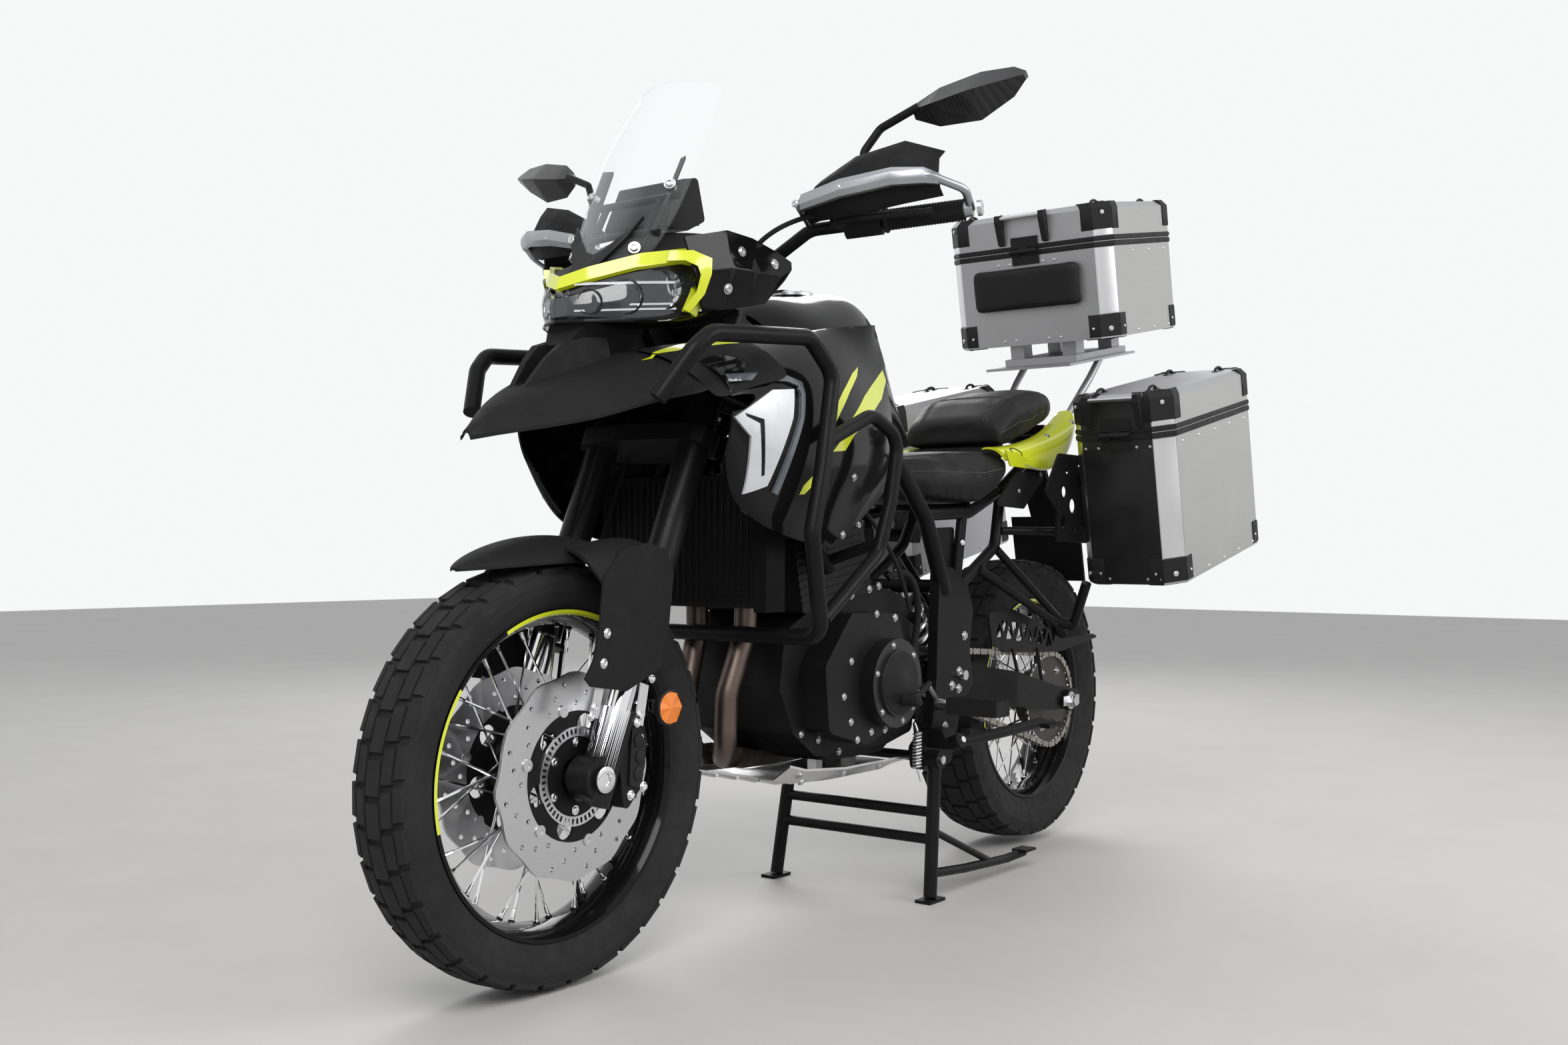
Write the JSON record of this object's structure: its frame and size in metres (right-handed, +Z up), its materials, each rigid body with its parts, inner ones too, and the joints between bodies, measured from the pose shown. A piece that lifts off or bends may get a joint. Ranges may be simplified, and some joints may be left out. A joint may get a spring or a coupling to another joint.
{
  "type": "adventure motorcycle with luggage cases",
  "caption": "Adventure motorcycle on its centre stand, with spoked wheels, beak, tall screen, crash bars, two side cases and a top case that open.",
  "frame": {"origin": "on the floor, at the centre of the machine's length and width as it stands on its centre stand", "axes": "+X is forward, +Y is the rider's left, +Z is up"},
  "size_m": [2.3233, 1.16, 1.5481],
  "materials": {
    "axle_steel": "plated",
    "bar_alloy": "painted",
    "bar_steel": "powder coated",
    "beak_plastic": "fine grain",
    "caliper_alloy": "painted",
    "carrier_alloy": "anodised",
    "case_alloy": "anodised, black plastic corners",
    "chain_steel": "oiled",
    "clamp_alloy": "painted",
    "control_plastic": "fine grain",
    "cover_plastic": "fine grain",
    "disc_steel": "ground",
    "engine_alloy": "painted casting",
    "fender_plastic": "grained",
    "fork_black": "anodised",
    "fork_cast": "painted casting with chrome slider",
    "frame_steel": "satin black",
    "grip_rubber": "ribbed",
    "guard_plastic": "fine grain",
    "guard_steel": "satin black",
    "header_steel": "heat tinted",
    "lamp_glass": "clear lens over reflectors",
    "lamp_panel": "silver",
    "mirror_plastic": "woven pattern on the back",
    "pad_rubber": "soft foam skin",
    "peg_steel": "with rubber treads",
    "rack_alloy": "cast, satin",
    "radiator_alloy": "painted core",
    "rail_alloy": "satin",
    "rim_black": "gloss black rim with chrome spokes",
    "screen_clear": "clear, tinted",
    "seat_leather": "grained and stitched",
    "shock_steel": "coated spring",
    "shroud_plastic": "gloss",
    "skid_alloy": "brushed",
    "sprocket_steel": "machined",
    "stand_steel": "powder coated",
    "swingarm_steel": "satin black",
    "tail_plastic": "with a red lens",
    "tank_paint": "gloss black with yellow stripes",
    "tyre_rubber": "dull block tread",
    "yellow_plastic": "gloss"
  },
  "bodies": {
    "chassis": {"backrest_pad": "pad_rubber", "beak": "beak_plastic", "case_racks": "frame_steel", "chain": "chain_steel", "chain_guard": "guard_steel", "chassis_pins": "axle_steel", "crash_bars": "bar_steel", "dash": "control_plastic", "engine": "engine_alloy", "exhaust": "header_steel", "fuel_tank": "tank_paint", "headlight": "lamp_glass", "headlight_brow": "yellow_plastic", "left_case_body": "case_alloy", "main_frame": "frame_steel", "nose_panels": "shroud_plastic", "nose_stay": "frame_steel", "passenger_pegs": "peg_steel", "pillion_seat": "seat_leather", "radiator": "radiator_alloy", "rear_rack": "rack_alloy", "rear_shock": "shock_steel", "rider_pegs": "peg_steel", "rider_seat": "seat_leather", "right_case_body": "case_alloy", "shroud_lamps": "lamp_panel", "side_covers": "cover_plastic", "side_shrouds": "shroud_plastic", "skid_plate": "skid_alloy", "subframe": "frame_steel", "swingarm": "swingarm_steel", "tail_cowl": "yellow_plastic", "tail_unit": "tail_plastic", "top_case_body": "case_alloy", "windscreen": "screen_clear"},
    "steering": {"triple_clamps": "clamp_alloy", "fork_tubes": "fork_black", "fork_lowers": "fork_cast", "front_axle": "axle_steel", "handlebar": "bar_alloy", "grips": "grip_rubber", "bar_controls": "control_plastic", "handguards": "guard_plastic", "handguard_rails": "rail_alloy", "mirrors": "mirror_plastic", "front_fender": "fender_plastic", "front_calipers": "caliper_alloy"},
    "front_wheel": {"front_tyre": "tyre_rubber", "front_rim": "rim_black", "front_discs": "disc_steel", "front_carriers": "carrier_alloy"},
    "rear_wheel": {"rear_tyre": "tyre_rubber", "rear_rim": "rim_black", "rear_disc": "disc_steel", "rear_sprocket": "sprocket_steel"},
    "centre_stand": {"centre_stand": "stand_steel"},
    "side_stand": {"side_stand": "stand_steel"},
    "top_lid": {"top_case_lid": "case_alloy"},
    "left_lid": {"left_case_lid": "case_alloy"},
    "right_lid": {"right_case_lid": "case_alloy"}
  },
  "joints": [
    {"name": "steering", "type": "hinge", "parent": "chassis", "child": "steering", "pos_m": [0.7941, 0, 0.31276], "axis": [-0.3907, 0, 0.9205], "range_deg": [-32, 32]},
    {"name": "front_wheel_spin", "type": "hinge", "parent": "steering", "child": "front_wheel", "pos_m": [0.83, 0, 0.328], "axis": [0, 1, 0], "continuous": true},
    {"name": "rear_wheel_spin", "type": "hinge", "parent": "chassis", "child": "rear_wheel", "pos_m": [-0.665, 0, 0.333], "axis": [0, 1, 0], "continuous": true},
    {"name": "centre_stand_fold", "type": "hinge", "parent": "chassis", "child": "centre_stand", "pos_m": [-0.05, 0, 0.267], "axis": [0, 1, 0], "range_deg": [0, 75]},
    {"name": "side_stand_swing", "type": "hinge", "parent": "chassis", "child": "side_stand", "pos_m": [-0.083, 0.203, 0.3], "axis": [-0.108, -0.9161, -0.3861], "range_deg": [0, 104]},
    {"name": "top_lid_open", "type": "hinge", "parent": "chassis", "child": "top_lid", "pos_m": [-0.73153, 0, 1.38715], "axis": [0, 1, 0], "range_deg": [0, 80]},
    {"name": "left_lid_open", "type": "hinge", "parent": "chassis", "child": "left_lid", "pos_m": [-0.52358, 0, 0.92025], "axis": [0, 1, 0], "range_deg": [0, 80]},
    {"name": "right_lid_open", "type": "hinge", "parent": "chassis", "child": "right_lid", "pos_m": [-0.52358, 0, 0.92025], "axis": [0, 1, 0], "range_deg": [0, 80]}
  ]
}
